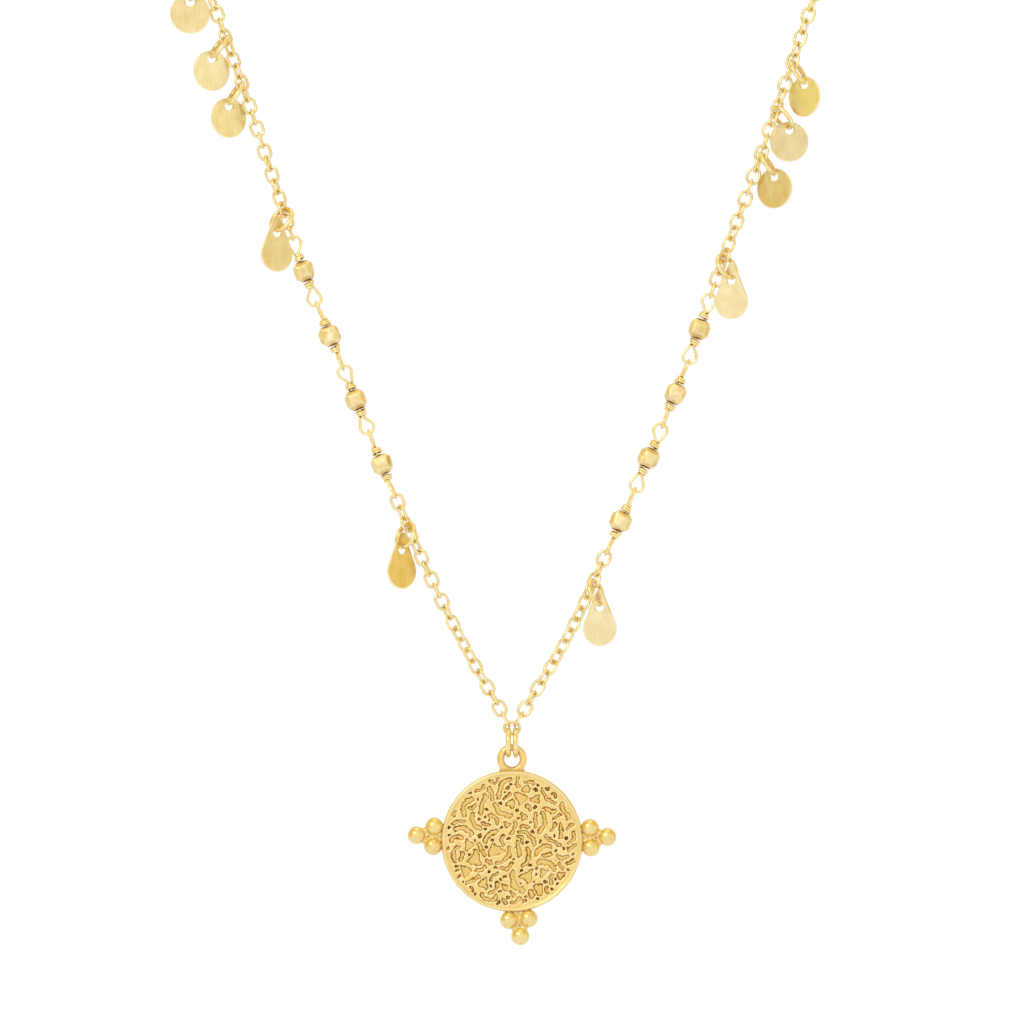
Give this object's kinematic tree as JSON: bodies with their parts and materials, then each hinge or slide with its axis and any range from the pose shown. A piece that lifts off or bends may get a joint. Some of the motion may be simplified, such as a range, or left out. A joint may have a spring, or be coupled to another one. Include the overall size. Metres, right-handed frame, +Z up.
{
  "type": "pendant necklace",
  "caption": "Cable-chain necklace with faceted nugget beads on wrapped wires, brushed disc and teardrop drops, and a round sunk-patterned pendant with soldered ball clusters.",
  "frame": {"origin": "centre of the clasp at the nape, where the neck carries the necklace", "axes": "+Z up, -Y to the front where the pendant hangs, +X to the right in the front view"},
  "size_m": [0.1164, 0.0959, 0.1884],
  "materials": {
    "polished_gold_plate": "polished",
    "sandy_gold_plate": "matte",
    "brushed_pale_gold_plate": "brushed",
    "antique_gold_plate": "satin"
  },
  "bodies": {
    "necklace": {"chain_lower": "polished_gold_plate", "chain_upper_left": "polished_gold_plate", "chain_upper_right": "polished_gold_plate", "chain_nape_left": "polished_gold_plate", "chain_nape_right": "polished_gold_plate", "wire_left_1": "polished_gold_plate", "wire_left_2": "polished_gold_plate", "wire_left_3": "polished_gold_plate", "wire_left_4": "polished_gold_plate", "wire_right_1": "polished_gold_plate", "wire_right_2": "polished_gold_plate", "wire_right_3": "polished_gold_plate", "wire_right_4": "polished_gold_plate", "ring_disc_left_1": "polished_gold_plate", "ring_disc_left_2": "polished_gold_plate", "ring_disc_left_3": "polished_gold_plate", "ring_disc_right_1": "polished_gold_plate", "ring_disc_right_2": "polished_gold_plate", "ring_disc_right_3": "polished_gold_plate", "ring_teardrop_left_upper": "polished_gold_plate", "ring_teardrop_left_lower": "polished_gold_plate", "ring_teardrop_right_upper": "polished_gold_plate", "ring_teardrop_right_lower": "polished_gold_plate", "clasp": "polished_gold_plate", "bead_left_1": "sandy_gold_plate", "bead_left_2": "sandy_gold_plate", "bead_left_3": "sandy_gold_plate", "bead_left_4": "sandy_gold_plate", "bead_right_1": "sandy_gold_plate", "bead_right_2": "sandy_gold_plate", "bead_right_3": "sandy_gold_plate", "bead_right_4": "sandy_gold_plate", "disc_left_1": "brushed_pale_gold_plate", "disc_left_2": "brushed_pale_gold_plate", "disc_left_3": "brushed_pale_gold_plate", "disc_right_1": "brushed_pale_gold_plate", "disc_right_2": "brushed_pale_gold_plate", "disc_right_3": "brushed_pale_gold_plate", "teardrop_left_upper": "brushed_pale_gold_plate", "teardrop_left_lower": "brushed_pale_gold_plate", "teardrop_right_upper": "brushed_pale_gold_plate", "teardrop_right_lower": "brushed_pale_gold_plate"},
    "pendant_rings": {"pendant_ring_left": "polished_gold_plate", "pendant_ring_right": "polished_gold_plate"},
    "medallion": {"medallion": "antique_gold_plate"}
  },
  "joints": [
    {"name": "rings_swing", "type": "hinge", "parent": "necklace", "child": "pendant_rings", "pos_m": [0, -0.091, -0.1564], "axis": [1, 0, 0], "range_deg": [-75, 75]},
    {"name": "medallion_swing", "type": "hinge", "parent": "pendant_rings", "child": "medallion", "pos_m": [0, -0.091, -0.15885], "axis": [0, 1, 0], "range_deg": [-60, 60]}
  ]
}
